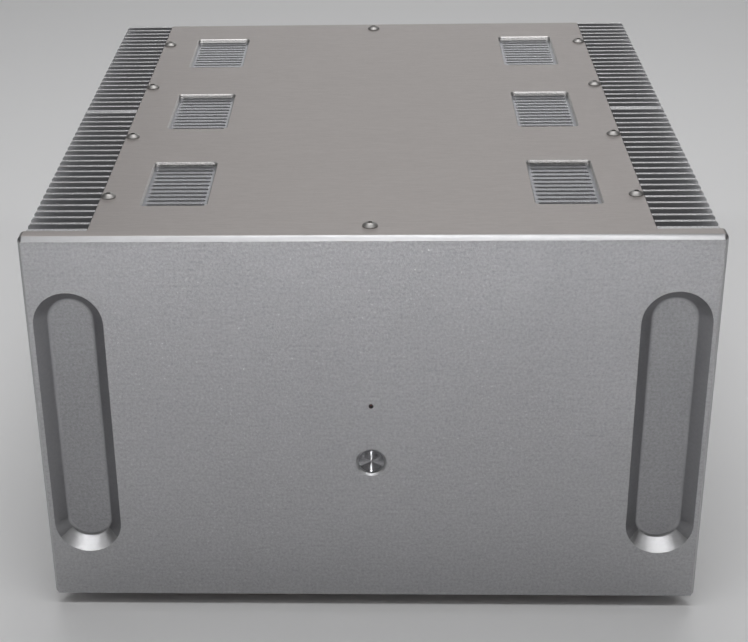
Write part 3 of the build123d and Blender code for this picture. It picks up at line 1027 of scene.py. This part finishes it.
class CHASSIS_OT_lamp_and_switch(bpy.types.Operator):
    """Finish the indicator lamp, its holder and the switch"""

    bl_idname = "chassis.lamp_and_switch"
    bl_label = "Lamp and Switch"

    def execute(self, context):
        black = grained(
            "black plastic",
            (0.02, 0.02, 0.022),
            roughness=0.45,
            grain=0.0006,
            contrast=0.2,
            depth=0.2,
            metallic=0.0,
        )
        red = grained(
            "lamp plastic",
            (0.07, 0.007, 0.014),
            roughness=0.25,
            grain=0.0006,
            contrast=0.2,
            depth=0.02,
            metallic=0.0,
            coat=0.5,
        )
        for name in ("lamp_holder", "power_switch"):
            assign(frame["nodes"][name], black)
        assign(frame["nodes"]["indicator_lamp"], red)
        return {"FINISHED"}


class CHASSIS_OT_feet(bpy.types.Operator):
    """Finish the turned feet and their rubber rings"""

    bl_idname = "chassis.feet"
    bl_label = "Feet"

    def execute(self, context):
        settings = finish()
        rubber = grained(
            "rubber",
            (0.018, 0.018, 0.018),
            roughness=0.7,
            grain=0.0008,
            contrast=0.3,
            depth=0.4,
            metallic=0.0,
        )
        for name in FEET:
            metal = turned_metal(
                "foot aluminium " + name.replace("_", " "),
                (0.5, 0.5, 0.52),
                roughness=0.3,
                node_name="foot_" + name,
                across=(1.0, 1.0, 0.0),
                spacing=0.0004,
                contrast=0.2,
                depth=0.2,
            )
            assign(softened("foot_" + name, settings.edge_break), metal)
            assign(softened("foot_pad_" + name, settings.edge_break), rubber)
        return {"FINISHED"}


def area_light(name, place, target, size, power):
    """A soft rectangular light that points at a target."""
    data = bpy.data.lights.new(name, "AREA")
    data.shape = "RECTANGLE"
    data.size, data.size_y = size
    data.energy = power
    light = bpy.data.objects.new(name, data)
    light.location = place
    light.rotation_euler = (Vector(target) - Vector(place)).to_track_quat("-Z", "Y").to_euler()
    bpy.context.scene.collection.objects.link(light)
    return light


def studio_lights(settings):
    """Soft lights above, in front, beside and behind, and a small lamp for the button."""
    above = settings.overhead_place
    below = (above[0], above[1], 0.0)
    area_light("overhead_light", above, below, settings.overhead_size, settings.overhead_power)
    area_light(
        "front_light", FRONT_LIGHT_PLACE, FRONT_TARGET, FRONT_LIGHT_SIZE, settings.front_power
    )
    pool = area_light(
        "floor_light", FLOOR_LIGHT_PLACE, FLOOR_LIGHT_TARGET, FLOOR_LIGHT_SIZE, settings.floor_power
    )
    pool.data.spread = FLOOR_LIGHT_SPREAD
    for side, place in SIDE_LIGHT_PLACES.items():
        area_light(
            "side_light_" + side, place, FRONT_TARGET, SIDE_LIGHT_SIZE, settings.side_power
        )
    area_light("small_lamp", SMALL_LAMP_PLACE, FRONT_TARGET, SMALL_LAMP_SIZE, settings.lamp_power)
    area_light(
        "rear_light", REAR_LIGHT_PLACE, REAR_LIGHT_TARGET, REAR_LIGHT_SIZE, settings.rear_power
    )
    world = bpy.data.worlds.new("studio_world")
    world.use_nodes = True
    background = world.node_tree.nodes["Background"]
    background.inputs["Strength"].default_value = settings.world_level
    background.inputs["Color"].default_value = WHITE
    bpy.context.scene.world = world


def floor_and_backdrop(settings):
    """A pale floor that curves up into a backdrop."""
    shape = bmesh.new()
    line = [(FLOOR_FRONT, 0.0), (CURVE_START, 0.0)]
    for step in range(1, CURVE_STEPS + 1):
        angle = math.pi / 2 * step / CURVE_STEPS
        behind = CURVE_START + CURVE_RADIUS * math.sin(angle)
        line.append((behind, CURVE_RADIUS * (1 - math.cos(angle))))
    line.append((CURVE_START + CURVE_RADIUS, BACKDROP_HEIGHT))
    verts = [shape.verts.new((-FLOOR_HALF_WIDTH, y, z)) for y, z in line]
    edges = [shape.edges.new(pair) for pair in zip(verts, verts[1:])]
    made = bmesh.ops.extrude_edge_only(shape, edges=edges)
    moved = [item for item in made["geom"] if isinstance(item, bmesh.types.BMVert)]
    bmesh.ops.translate(shape, verts=moved, vec=(2 * FLOOR_HALF_WIDTH, 0.0, 0.0))
    bmesh.ops.recalc_face_normals(shape, faces=shape.faces)
    mesh = bpy.data.meshes.new("studio_floor")
    shape.to_mesh(mesh)
    shape.free()
    mesh.shade_smooth()
    floor = bpy.data.objects.new("studio_floor", mesh)
    bpy.context.scene.collection.objects.link(floor)
    material = bpy.data.materials.new("studio paper")
    material.use_nodes = True
    shader = material.node_tree.nodes["Principled BSDF"]
    shader.inputs["Base Color"].default_value = rgba(settings.floor_colour)
    shader.inputs["Roughness"].default_value = 0.9
    shader.inputs["Specular IOR Level"].default_value = 0.1
    assign(floor, material)


def studio_camera(settings):
    """A camera at the photograph's viewing angle."""
    data = bpy.data.cameras.new("studio_camera")
    data.sensor_fit = "HORIZONTAL"
    data.sensor_width = SENSOR_WIDTH
    data.lens = settings.focal_pixels / PHOTO_WIDTH * data.sensor_width
    data.shift_x = (PHOTO_WIDTH / 2 - settings.centre_pixel[0]) / PHOTO_WIDTH
    data.shift_y = (settings.centre_pixel[1] - PHOTO_HEIGHT / 2) / PHOTO_WIDTH
    camera = bpy.data.objects.new("studio_camera", data)
    camera.location = settings.camera_place
    tilt = Euler((math.pi / 2 - settings.camera_pitch, 0.0, -settings.camera_yaw)).to_matrix()
    camera.rotation_euler = (tilt @ Matrix.Rotation(settings.camera_roll, 3, "Z")).to_euler()
    bpy.context.scene.collection.objects.link(camera)
    bpy.context.scene.camera = camera


class CHASSIS_OT_studio(bpy.types.Operator):
    """Set up the floor, the lights and the camera"""

    bl_idname = "chassis.studio"
    bl_label = "Studio"

    def execute(self, context):
        settings = context.scene.chassis_studio
        floor_and_backdrop(settings)
        studio_lights(settings)
        studio_camera(settings)
        context.scene.view_settings.view_transform = "Standard"
        return {"FINISHED"}


class CHASSIS_PT_panel(bpy.types.Panel):
    """The chassis's pieces and its studio"""

    bl_label = "Amplifier Chassis"
    bl_idname = "CHASSIS_PT_panel"
    bl_space_type = "VIEW_3D"
    bl_region_type = "UI"
    bl_category = "Chassis"

    def draw(self, context):
        layout = self.layout
        for name in ChassisFinish.__annotations__:
            layout.prop(context.scene.chassis_finish, name)
        for operator in OPERATORS:
            layout.operator(operator.bl_idname)
        for name in StudioSettings.__annotations__:
            layout.prop(context.scene.chassis_studio, name)


OPERATORS = (
    CHASSIS_OT_studio,
    CHASSIS_OT_front_plate,
    CHASSIS_OT_covers,
    CHASSIS_OT_heatsinks,
    CHASSIS_OT_inner_frame,
    CHASSIS_OT_fasteners,
    CHASSIS_OT_button,
    CHASSIS_OT_lamp_and_switch,
    CHASSIS_OT_feet,
)
CLASSES = (ChassisFinish, StudioSettings) + OPERATORS + (CHASSIS_PT_panel,)


def register():
    """Makes the classes and the scene's two groups of settings known."""
    for item in CLASSES:
        bpy.utils.register_class(item)
    bpy.types.Scene.chassis_finish = bpy.props.PointerProperty(type=ChassisFinish)
    bpy.types.Scene.chassis_studio = bpy.props.PointerProperty(type=StudioSettings)


def unregister():
    """Takes back what register has made known."""
    del bpy.types.Scene.chassis_studio
    del bpy.types.Scene.chassis_finish
    for item in reversed(CLASSES):
        bpy.utils.unregister_class(item)


def main():
    """Builds everything in order."""
    register()
    bpy.ops.chassis.studio()
    bpy.ops.chassis.front_plate()
    bpy.ops.chassis.covers()
    bpy.ops.chassis.heatsinks()
    bpy.ops.chassis.inner_frame()
    bpy.ops.chassis.fasteners()
    bpy.ops.chassis.button()
    bpy.ops.chassis.lamp_and_switch()
    bpy.ops.chassis.feet()


if __name__ == "__main__":
    main()
